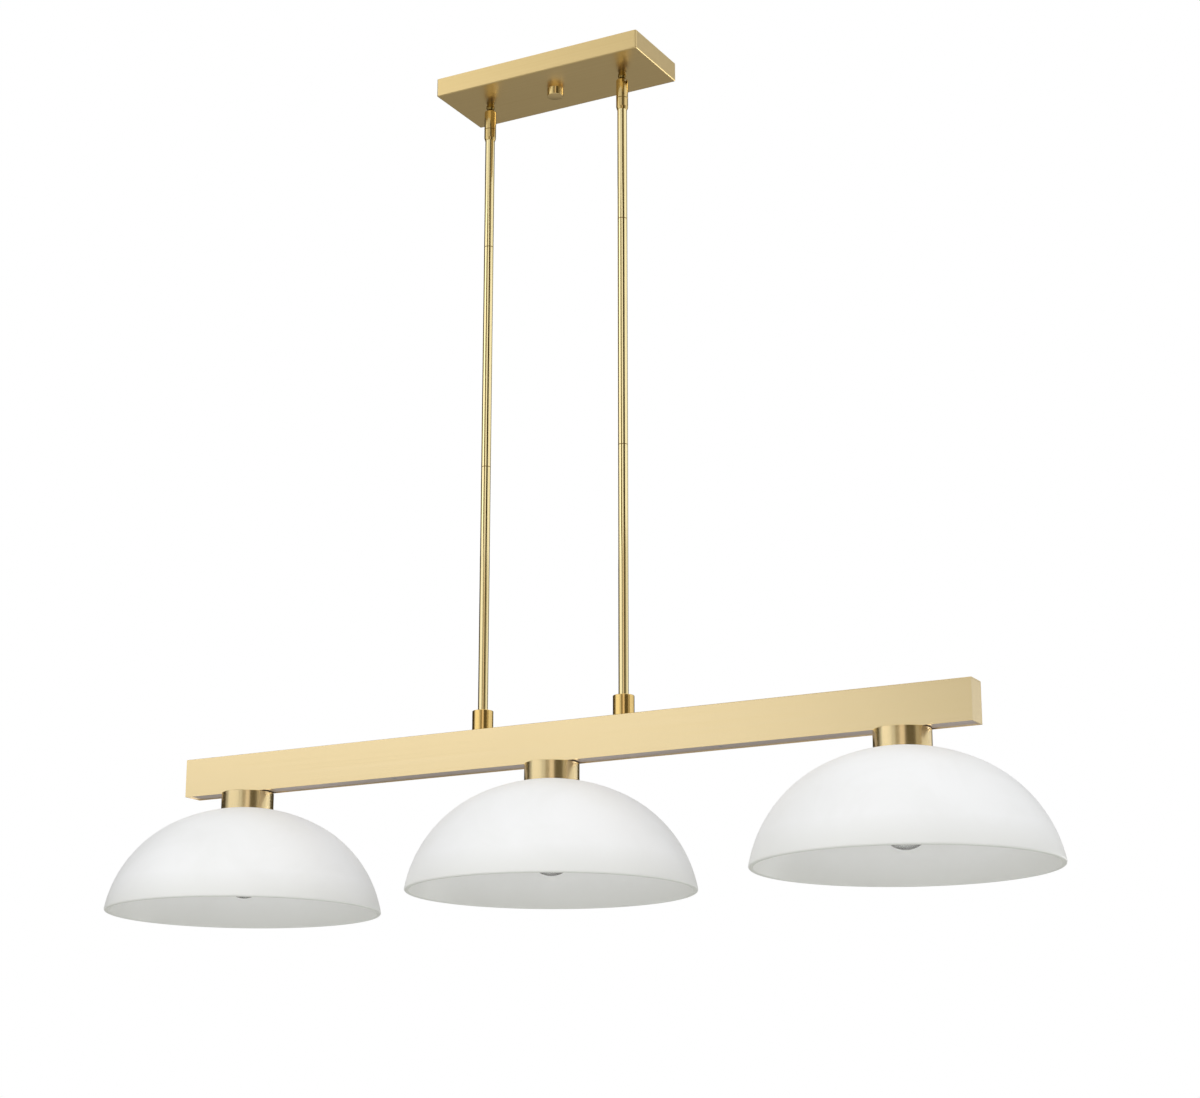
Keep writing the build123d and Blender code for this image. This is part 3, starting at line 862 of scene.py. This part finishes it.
@dataclass
class CrossBar(SubAssembly):
    """The box-section bar, its cover plate and what is inside it. Sizes are in millimetres."""

    screw_thread: Thread = Thread(pitch=0.7, depth=0.35)
    screw_recess: CrossRecess = CrossRecess(reach=2.0, half_width=0.45, depth=1.5)
    screw_shank: float = 2.0

    def dress(self) -> None:
        """Dresses the bar's nodes."""
        self.dress_nodes(["bar_channel", "bar_end_cap_left", "bar_end_cap_right"], "gold_bar")
        self.dress_nodes(["bar_cover"], "cover_plate")
        self.dress_nodes(["cover_brackets", "rod_nipples", "bar_nipples", "bar_lock_nuts", "cup_nipples",
                          "cup_nuts"], "zinc_plate")
        self.dress_nodes(["centre_contacts"], "contact_brass")
        self.dress_nodes(["stem_cable", "lamp_harness"], "cable_jacket")
        low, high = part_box("cover_screws")
        head = (high.y - low.y) / 2.0
        for side, x in ((Side.LEFT, low.x + head), (Side.RIGHT, high.x - head)):
            self.cut_cover_screw(side, Span(x, head, low.z, high.z))

    def cut_cover_screw(self, side: Side, screw: Span) -> None:
        """Makes one sunk screw of the cover plate, with a thread and a cross in its head.

        Args:
            side: which of the two screws.
            screw: where it stands, its head's radius, its flat face and its end.
        """
        shank, cross = mm(self.screw_shank), mm(self.screw_recess.half_width)
        neck = screw.low + screw.radius - shank
        cut = self.screw_thread.wave(neck, screw.high + mm(self.screw_thread.fade), least=shank)

        def shape(angle: float, radius: float, height: float) -> float:
            """Gives the shank its thread and the recess its cross.

            Args:
                angle: the point's turn about the axis, in radians.
                radius: its distance from the axis, in metres.
                height: its height.

            Returns:
                The change of the radius.
            """
            if radius == cross:
                return self.screw_recess.radius(angle) - radius
            return cut(angle, radius, height) if radius == shank else 0.0

        outline = [(cross, screw.low + mm(self.screw_recess.depth)), (cross, screw.low),
                   (screw.radius, screw.low)] + self.screw_thread.rows(shank, neck, screw.high)
        piece = sweep(f"cover_screw_{side.value}", outline, screw.x, wave=shape, ring=False)
        self.stand_for(piece, "cover_screws", "zinc_plate")


@dataclass
class LampHead(SubAssembly):
    """One cup with its lampholder, shade ring and glass dome. Sizes are in millimetres."""

    place: Place
    scallops: int = 18
    scallop_depth: float = 1.6
    flange_thickness: float = 2.5
    grip_radius: float = 24.0
    ring_bore: float = 19.3
    edge: float = 0.5
    skirt_thread: Thread = Thread(pitch=2.5, depth=0.7)
    thread_below_ring: float = 0.2
    thread_above_foot: float = 0.6

    def dress(self) -> None:
        """Dresses the head's nodes."""
        for part, finish in (("socket_cup", "gold_cup"), ("lampholder", "black_phenolic"),
                             ("screw_shell", "contact_brass"), ("glass_shade", "opal_glass")):
            self.dress_nodes([f"{part}_{self.place.value}"], finish)
        self.mould_ring()
        self.cut_skirt_thread()

    def mould_ring(self) -> None:
        """Moulds the ring that clamps the glass, with a scalloped grip under its flange."""
        node = f"shade_ring_{self.place.value}"
        x, flange, low, high = span(node)
        grip, bore, edge = mm(self.grip_radius), mm(self.ring_bore), mm(self.edge)
        step = high - mm(self.flange_thickness)

        def hollow(angle: float, radius: float, height: float) -> float:
            """Gives the depth of the scallops.

            Args:
                angle: the point's turn about the axis, in radians.
                radius: its distance from the axis, in metres.
                height: its height.

            Returns:
                The change of the radius, 0 or less.
            """
            if height > step or radius < grip - 2.0 * edge:
                return 0.0
            return -mm(self.scallop_depth) * (0.5 + 0.5 * math.cos(self.scallops * angle)) ** 3

        outline = [(bore, high), (flange - edge, high), (flange, high - edge), (flange, step + edge),
                   (flange - edge, step), (grip, step), (grip, low + edge), (grip - edge, low), (bore, low)]
        ring = sweep(f"{node}_scalloped", outline, x, segments=12 * self.scallops, wave=hollow)
        self.stand_for(ring, node, "black_phenolic")

    def cut_skirt_thread(self) -> None:
        """Winds the thread round the stretch of the skirt that shows below the ring."""
        spot = self.place.value
        x, root, low, _ = span(f"lampholder_{spot}")
        crest, under = root + mm(self.skirt_thread.depth), root - mm(self.edge)
        top = span(f"shade_ring_{spot}").low - mm(self.thread_below_ring)
        bottom = low + mm(self.thread_above_foot)
        outline = self.skirt_thread.rows(crest, bottom, top) + [(under, top), (under, bottom)]
        outline[0], outline[-3] = (root, bottom), (root, top)
        wave = self.skirt_thread.wave(bottom, top, least=crest)
        piece = sweep(f"skirt_thread_{spot}", outline, x, wave=wave)
        self.add_to(piece, f"lampholder_{spot}", "black_phenolic")


@dataclass
class Bulb(SubAssembly):
    """One clear bulb with its screw base and filaments. Sizes are in millimetres."""

    place: Place
    thread: Thread = Thread(pitch=3.63, depth=0.8, fade=1.5)
    collar_height: float = 8.0
    socket_gap: float = 0.5
    shoulder: float = 5.6
    shoulder_roll: float = 0.6
    insulator_radius: float = 10.2
    tip_radius: float = 4.7
    tip_height: float = 1.6
    filaments: int = 4
    cage_radius: float = 8.0
    cage_height: float = 37.6
    cage_margin: float = 1.2
    strip_half_width: float = 0.9
    strip_half_depth: float = 0.45
    strip_end: float = 0.5
    wire_radius: float = 0.25
    wire_sag: float = 1.6
    stem_radius: float = 2.2
    stem_flare: float = 16.0

    def dress(self) -> None:
        """Dresses the bulb's nodes."""
        self.dress_nodes([f"bulb_glass_{self.place.value}"], "bulb_clear_glass")
        self.roll_base()
        self.blow_stem()
        self.hang_filaments()

    def roll_base(self) -> None:
        """Makes the base: a rolled shell, a black glass insulator and a soldered tip."""
        spot = self.place.value
        node = f"bulb_base_{spot}"
        x, outer, low, high = span(node)
        inner, core = outer - mm(self.socket_gap), outer - mm(self.thread.depth + self.socket_gap)
        collar, shoulder = low + mm(self.collar_height), high - mm(self.shoulder)
        roll, insulator, tip = mm(self.shoulder_roll), mm(self.insulator_radius), mm(self.tip_radius)
        outline = [(inner, low), (outer, low), (outer, collar)]
        outline += self.thread.rows(outer, collar, shoulder)[1:]
        outline += [(insulator, shoulder + roll), (insulator, shoulder), (core, shoulder - roll),
                    (core, collar), (inner, collar)]
        wave = self.thread.wave(collar, shoulder, least=outer)
        shell = sweep(f"bulb_shell_{spot}", outline, x, segments=72, wave=wave)
        self.stand_for(shell, node, "bulb_cap_metal")
        seat = high - mm(self.tip_height)
        outline = [(insulator, shoulder), (insulator, shoulder + mm(0.7)),
                   (insulator - mm(0.8), shoulder + mm(1.3)), (tip + mm(0.6), seat - mm(0.4)), (tip, seat)]
        cone = sweep(f"bulb_insulator_{spot}", outline, x, segments=72, ring=False)
        self.stand_for(cone, node, "black_glass")
        turns = [step * math.pi / 16.0 for step in range(8)]
        outline = [(tip * math.cos(turn), seat + mm(self.tip_height) * math.sin(turn)) for turn in turns]
        drop = sweep(f"bulb_tip_{spot}", outline, x, segments=48, ring=False)
        self.stand_for(drop, node, "solder")

    def blow_stem(self) -> None:
        """Makes the glass stem, flared where it is sealed to the neck and beaded at its end."""
        node = f"bulb_filament_{self.place.value}"
        x, flare, low, high = span(node)
        stem, length = mm(self.stem_radius), mm(self.stem_flare)
        outline = [(flare, high)]
        for step in range(1, 11):
            along = step / 10.0
            outline.append((stem + (flare - stem) * (1.0 - along) ** 3, high - length * along))
        bead = ((1.0, 4.0), (1.25, 2.4), (1.0, 0.8), (0.4, 0.1))
        outline += [(stem * share, low + mm(rise)) for share, rise in bead]
        piece = sweep(f"bulb_stem_{self.place.value}", outline, x, segments=40, ring=False)
        self.stand_for(piece, node, "bulb_clear_glass")

    def hang_filaments(self) -> None:
        """Hangs the filament strips round the stem."""
        for count in range(self.filaments):
            self.hang_filament(f"{self.place.value}_{count + 1}", math.tau * count / self.filaments)

    def hang_filament(self, label: str, angle: float) -> None:
        """Hangs one filament strip with rounded sides, on two wires that run out from the stem.

        Args:
            label: the bulb's place and the strip's number.
            angle: where it hangs round the stem.
        """
        node, sides = f"bulb_filament_{self.place.value}", 20
        x, _, low, _ = span(node)
        foot, head = low + mm(self.cage_margin), low + mm(self.cage_height - self.cage_margin)
        stem, cage, wire = mm(self.stem_radius), mm(self.cage_radius), mm(self.wire_radius)
        wide, deep, end = mm(self.strip_half_width), mm(self.strip_half_depth), mm(self.strip_end)
        middle, up = Vector((x, 0.0, 0.0)), Vector((0.0, 0.0, 1.0))
        out = Vector((math.cos(angle), math.sin(angle), 0.0))
        side = Vector((-math.sin(angle), math.cos(angle), 0.0))
        turns = [math.tau * step / sides for step in range(sides)]
        section = [side * (wide * math.cos(turn)) + out * (deep * math.sin(turn)) for turn in turns]
        rows = []
        for level, size in ((foot, 0.6), (foot + end, 1.0), (head - end, 1.0), (head, 0.6)):
            rows.append([middle + out * cage + point * size + up * level for point in section])
        self.stand_for(skin(f"filament_{label}", rows), node, "phosphor")
        for name, level, bend in (("low", foot, 1.0), ("high", head, -1.0)):
            start, sag = middle + up * level, up * (mm(self.wire_sag) * bend)
            steps = ((1.0, stem - wire), (0.9, cage * 0.6), (0.4, cage * 0.9), (0.0, cage), (0.8, cage))
            path = [start + sag * share + out * reach for share, reach in steps]
            self.stand_for(bend_wire(f"filament_wire_{name}_{label}", path, wire), node, "filament_wire")


@dataclass(frozen=True)
class Card:
    """A matt card that stands round the lamp, out of the picture, for the metal to mirror.

    It goes from a start to an end, in degrees to the right of the camera as seen from the lamp, and from a
    bottom to a top, in metres. A tone of 1 is white.
    """

    name: str
    start: float
    end: float
    bottom: float
    top: float
    tone: float
    tint: str = "ffffff"


FLAG = "ffedc4"


@dataclass
class Studio:
    """The floor, the white surroundings, the soft lamps, the cards and the camera. Sizes are in metres."""

    floor_height: float = -1.95
    floor_reach: float = 90.0
    floor_near: float = 2.5
    floor_far: float = 12.0
    floor_white: float = 0.75
    card_distance: float = 3.0
    card_step: float = 3.0
    ambient: float = 0.59
    camera_place: tuple[float, float, float] = (1.49824, -2.61719, -1.48185)
    camera_heading: float = 28.65
    camera_tilt: float = 15.15
    camera_lens: float = 73.472
    cards: tuple[Card, ...] = (
        Card("flag_back", 132, 254, -1.1, 0.12, 0.05, FLAG),
        Card("flag_back_right", 132, 166, 0.12, 1.15, 0.05, FLAG),
        Card("flag_back_left", 206, 254, 0.12, 1.15, 0.05, FLAG),
        Card("flag_back_high", 132, 254, 1.15, 1.6, 0.08, FLAG),
        Card("card_far_left", -106, -92, -0.9, 2.6, 0.45),
        Card("card_left_low", -92, -43, -1.9, -0.75, 0.3),
        Card("card_left", -92, -52, -0.75, 0.15, 1.04),
        Card("card_left_soft", -52, -43, -0.75, 0.15, 1.02),
        Card("card_left_high", -92, -54, 0.15, 1.08, 1.4),
        Card("card_front_low", -43, 9, -1.9, -0.75, 0.92),
        Card("card_left_shade", -43, -27, -0.75, 0.15, 0.66),
        Card("card_left_gap", -27, -10, -0.75, 0.15, 0.24, FLAG),
        Card("card_behind_camera", -10, 9, -0.75, 0.15, 0.78, "ffefe2"),
        Card("card_right_gap", 9, 46, -1.9, 0.15, 0.12, FLAG),
        Card("card_right_shade", 46, 68, -1.9, 0.15, 0.42, "fff4dc"),
        Card("card_right_low", 68, 100, -1.9, -0.75, 0.25, FLAG),
        Card("card_right", 68, 100, -0.75, 0.15, 0.85),
        Card("rod_left_shade", -54, -23, 0.15, 1.08, 0.16, "ffe9b0"),
        Card("rod_light", -23, 7, 0.15, 1.08, 0.95),
        Card("rod_gap", 7, 46, 0.15, 1.08, 0.04, "ffd97a"),
        Card("rod_right", 46, 100, 0.15, 1.08, 1.0),
        Card("strip_right", 100, 132, -1.9, -0.75, 3.5),
        Card("card_far_right", 100, 132, -0.75, 0.15, 0.7),
        Card("strip_right_high", 100, 132, 0.15, 0.95, 0.85),
        Card("high_left", -92, -60, 1.08, 2.6, 1.12),
        Card("high_left_shade", -60, -28, 1.08, 2.6, 0.75),
        Card("high_behind", -28, -8, 1.08, 2.6, 0.8),
        Card("high_gap", -8, 30, 1.08, 1.47, 0.12, FLAG),
        Card("high_gap_top", -8, 46, 1.47, 2.6, 0.7),
        Card("high_right_shade", 30, 46, 1.08, 1.47, 0.3, FLAG),
        Card("high_right", 46, 104, 1.08, 2.6, 0.98),
        Card("high_far_right", 104, 132, 0.95, 2.6, 0.5),
    )

    def build(self) -> None:
        """Builds the whole studio."""
        bpy.context.scene.view_settings.view_transform = "Standard"
        self.build_world()
        self.build_floor()
        self.build_lamps()
        self.build_cards()
        self.build_camera()

    @staticmethod
    def cleared(owner: Union[Material, bpy.types.World]) -> Graph:
        """Empties the nodes of a material or of the world.

        Args:
            owner: the material or world.

        Returns:
            Its graph, to build on.
        """
        owner.use_nodes = True
        owner.node_tree.nodes.clear()
        return Graph(owner.node_tree)

    @staticmethod
    def seen(graph: Graph) -> Socket:
        """Tells rays from the camera, from mirrors and through glass from the rest.

        Args:
            graph: the graph that the nodes are added to.

        Returns:
            A value of 1 for those rays and 0 for the rest.
        """
        path = graph.add("LightPath").outputs
        return graph.math("MAXIMUM", graph.math("MAXIMUM", path["Is Camera Ray"], path["Is Glossy Ray"]),
                          path["Is Transmission Ray"])

    def build_world(self) -> None:
        """Makes surroundings that look white and light the lamp evenly."""
        world = bpy.data.worlds.new("studio_white")
        bpy.context.scene.world = world
        graph = self.cleared(world)
        light = graph.add("Background", Color=paint("fbfcff"), Strength=self.ambient)
        white = graph.add("Background", Color=paint("ffffff"), Strength=1.0)
        both = graph.add("MixShader", self.seen(graph), light.outputs[0], white.outputs[0])
        graph.add("OutputWorld", both.outputs[0])

    def build_floor(self) -> None:
        """Lays a plain pale floor well below the lamp, which turns white far from it."""
        signs = ((-1.0, -1.0), (1.0, -1.0), (1.0, 1.0), (-1.0, 1.0))
        corners = [(x * self.floor_reach, y * self.floor_reach, self.floor_height) for x, y in signs]
        floor = solid("floor", corners, [(0, 1, 2, 3)])
        material = bpy.data.materials.new("floor_pale")
        graph = self.cleared(material)
        matt = graph.add("BsdfDiffuse", Color=paint("f1f1ed"))
        white = graph.add("Emission", Color=paint("ffffff"), Strength=1.0)
        away = graph.add("VectorMath", graph.add("TexCoord").outputs["Object"], operation="LENGTH")
        fade = graph.add("MapRange", away.outputs["Value"], From_Min=self.floor_near, From_Max=self.floor_far,
                         To_Min=self.floor_white, To_Max=1.0)
        share = graph.math("MULTIPLY", self.seen(graph), fade.outputs[0])
        both = graph.add("MixShader", share, matt.outputs[0], white.outputs[0])
        graph.add("OutputMaterial", both.outputs[0])
        floor.data.materials.append(material)

    def build_lamps(self) -> None:
        """Hangs four soft lamps: in front, at the right, above and behind."""
        middle = Vector((0.0, 0.0, -0.6))
        for name, heading, rise, far, power, size in (
                ("soft_front", -5.0, 35.0, 4.0, 60.0, 3.0), ("soft_right", 85.0, 25.0, 4.0, 28.0, 3.0),
                ("soft_above", 0.0, 88.0, 3.0, 8.0, 2.5), ("soft_back", 200.0, 25.0, 4.0, 20.0, 3.0)):
            turn, lift = math.radians(heading), math.radians(rise)
            back = Vector((math.sin(turn) * math.cos(lift), -math.cos(turn) * math.cos(lift), math.sin(lift)))
            light = bpy.data.lights.new(name, "AREA")
            light.energy = power
            light.size = size
            lamp = bpy.data.objects.new(name, light)
            lamp.location = middle + back * far
            lamp.rotation_euler = back.to_track_quat("Z", "Y").to_euler()
            lamp.visible_glossy = False
            bpy.context.scene.collection.objects.link(lamp)

    def build_cards(self) -> None:
        """Stands the cards round the lamp, and lays two flat ones below and above, out of the picture."""
        heading = math.degrees(math.atan2(self.camera_place[0], -self.camera_place[1]))
        for card in self.cards:
            steps = max(2, round((card.end - card.start) / self.card_step))
            points = []
            for step in range(steps + 1):
                angle = math.radians(heading + card.start + (card.end - card.start) * step / steps)
                x, y = math.sin(angle) * self.card_distance, -math.cos(angle) * self.card_distance
                points += [(x, y, card.bottom), (x, y, card.top)]
            faces = [(2 * i, 2 * i + 2, 2 * i + 3, 2 * i + 1) for i in range(steps)]
            self.place_card(card.name, points, faces, card.tone, card.tint)
        back = Vector((-self.camera_place[0], -self.camera_place[1], 0.0)).normalized()
        side = Vector((back.y, -back.x, 0.0))
        for name, left, right, near, far, height, tone, tint in (
                ("card_floor", -12.0, 12.0, -0.8, 12.0, -1.94, 0.385, "fffaf2"),
                ("flag_above", -2.8, -0.9, -0.8, 2.4, 2.6, 0.12, FLAG)):
            corners = [side * across + back * away + Vector((0.0, 0.0, height))
                       for across, away in ((left, near), (right, near), (right, far), (left, far))]
            self.place_card(name, corners, [(0, 1, 2, 3)], tone, tint)

    def place_card(self, name: str, points: Points, faces: Faces, tone: float, tint: str) -> None:
        """Makes one card that only mirrors show.

        Args:
            name: the card's name.
            points: its corners.
            faces: its faces.
            tone: how bright it is, 1 for white.
            tint: its colour.
        """
        piece = solid(name, points, faces)
        material = bpy.data.materials.new(name)
        graph = self.cleared(material)
        glow = graph.add("Emission", Color=paint(tint), Strength=tone)
        graph.add("OutputMaterial", glow.outputs[0])
        piece.data.materials.append(material)
        piece.visible_camera = piece.visible_diffuse = False
        piece.visible_transmission = piece.visible_shadow = False

    def build_camera(self) -> None:
        """Sets the camera at the photograph's viewing angle."""
        lens = bpy.data.cameras.new("camera")
        lens.lens = self.camera_lens
        lens.sensor_width = 36.0
        lens.clip_start = 0.05
        lens.clip_end = 200.0
        camera = bpy.data.objects.new("camera", lens)
        camera.location = self.camera_place
        tilt, heading = math.radians(90.0 + self.camera_tilt), math.radians(self.camera_heading)
        camera.rotation_euler = (tilt, 0.0, heading)
        bpy.context.scene.collection.objects.link(camera)
        bpy.context.scene.camera = camera


def main() -> None:
    """Dresses the lamp, sets up the studio and reports each piece."""
    logging.basicConfig(level=logging.INFO, format="%(message)s")
    finishes = Finishes()
    Canopy(finishes).dress()
    for side in Side:
        Stem(finishes, side).dress()
    CrossBar(finishes).dress()
    for place in Place:
        LampHead(finishes, place).dress()
        Bulb(finishes, place).dress()
    Studio().build()


if __name__ == "__main__":
    main()
